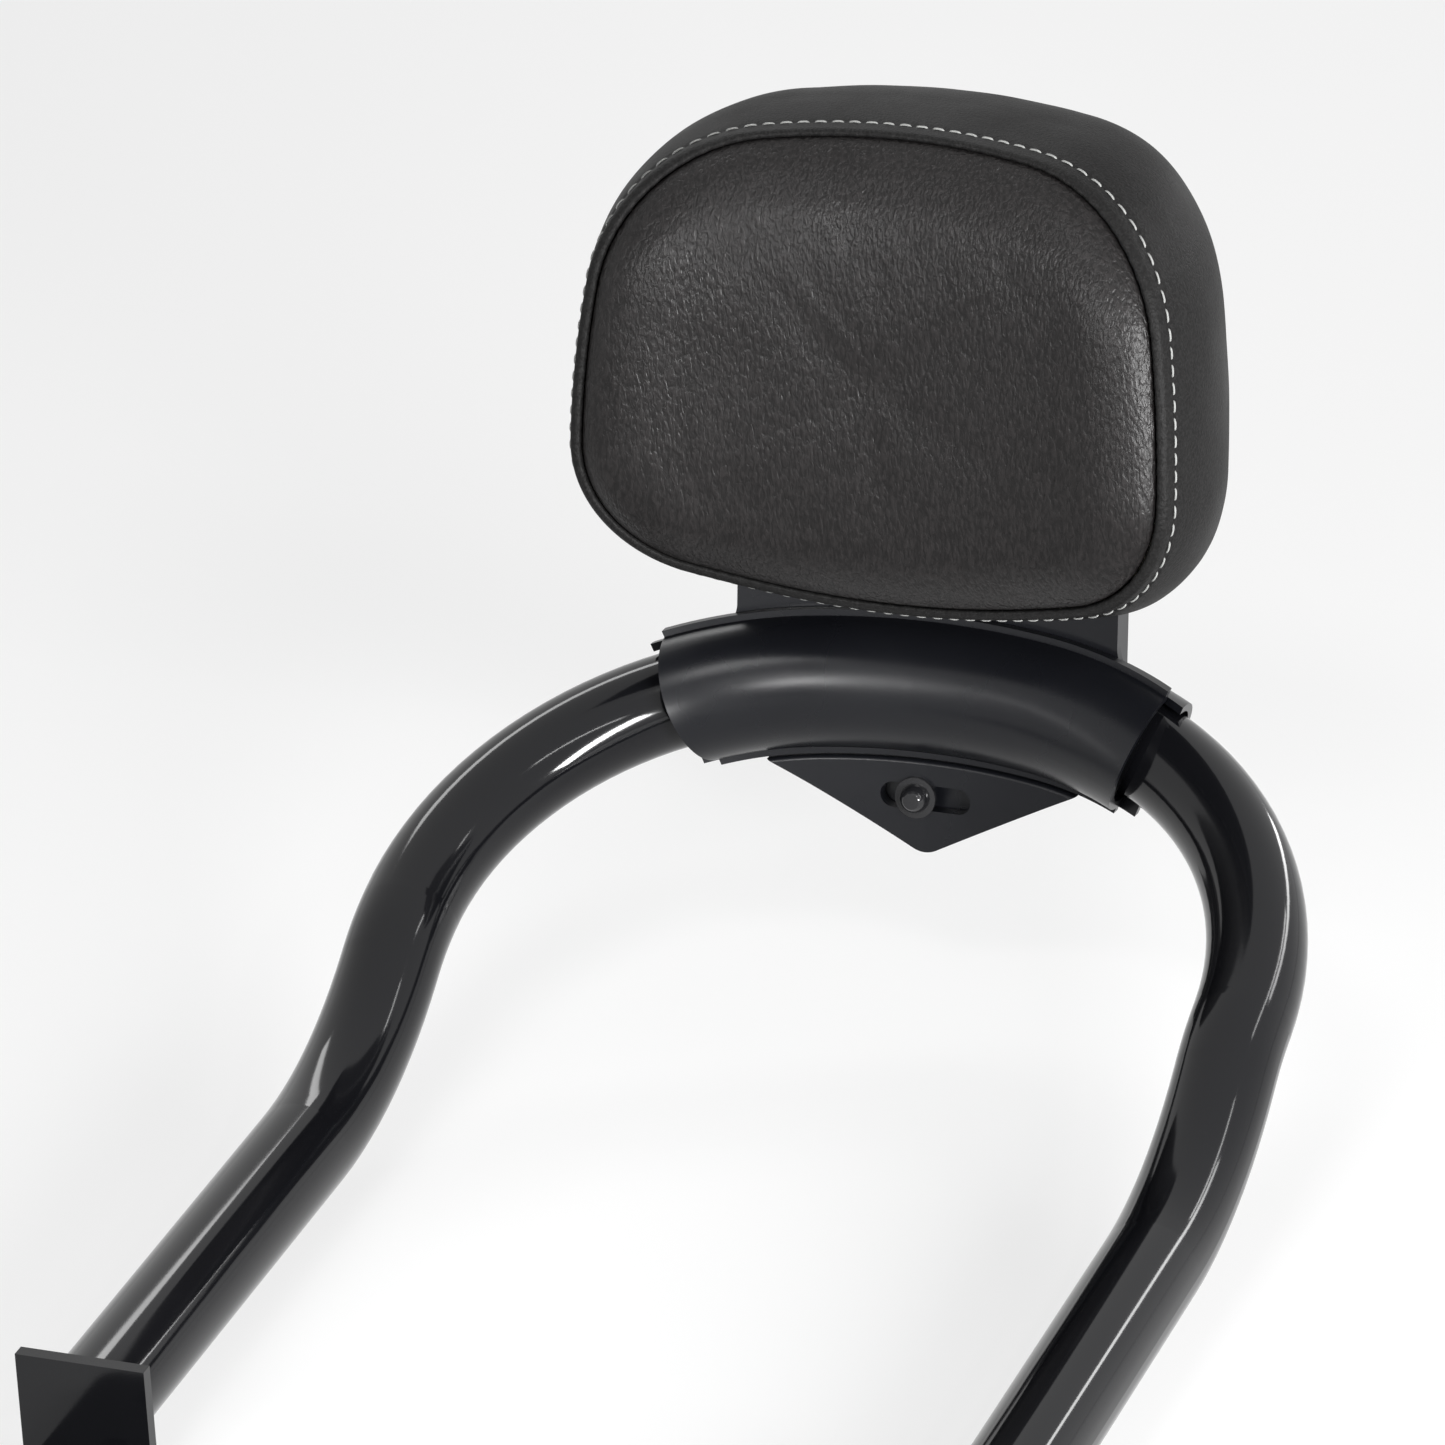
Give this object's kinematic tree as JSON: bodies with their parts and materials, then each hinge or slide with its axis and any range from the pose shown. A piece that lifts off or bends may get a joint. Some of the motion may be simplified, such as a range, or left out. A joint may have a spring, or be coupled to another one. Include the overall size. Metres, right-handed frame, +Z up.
{
  "type": "motorcycle backrest",
  "caption": "Curved padded backrest on an upright, clamped to the rear of a bent tube hoop whose two feet bolt down beside the seat.",
  "frame": {"origin": "centre of the rectangle of four bolt holes, on the undersides of the two feet", "axes": "+X to the right as seen from in front of the pad, +Y rearward, +Z up; the pad faces -Y"},
  "size_m": [0.352, 0.548, 0.3371],
  "materials": {
    "hoop_black": "gloss powder coat",
    "clamp_black": "satin powder coat",
    "liner_rubber": "matte",
    "bolt_black": "gloss black oxide",
    "tee_nut_steel": "zinc plated",
    "pad_cover": "fine grain, satin",
    "pad_face": "coarse grain, satin",
    "pad_back": "matte",
    "pad_foam": "matte",
    "board_wood": "matte"
  },
  "bodies": {
    "root": {"hoop_tube": "hoop_black", "right_foot_plate": "hoop_black", "left_foot_plate": "hoop_black", "front_clamp_shell": "clamp_black", "rear_clamp_bracket": "clamp_black", "front_liner": "liner_rubber", "rear_liner": "liner_rubber", "slot_bolt": "bolt_black", "slot_washer": "bolt_black", "slot_nut": "bolt_black", "clamp_screws": "bolt_black", "pad_screws": "bolt_black", "pad_washers": "bolt_black", "tee_nuts": "tee_nut_steel", "pad_side_band": "pad_cover", "pad_face_panel": "pad_face", "pad_back_panel": "pad_back", "foam_core": "pad_foam", "back_foam": "pad_foam", "base_board": "board_wood"}
  },
  "joints": []
}
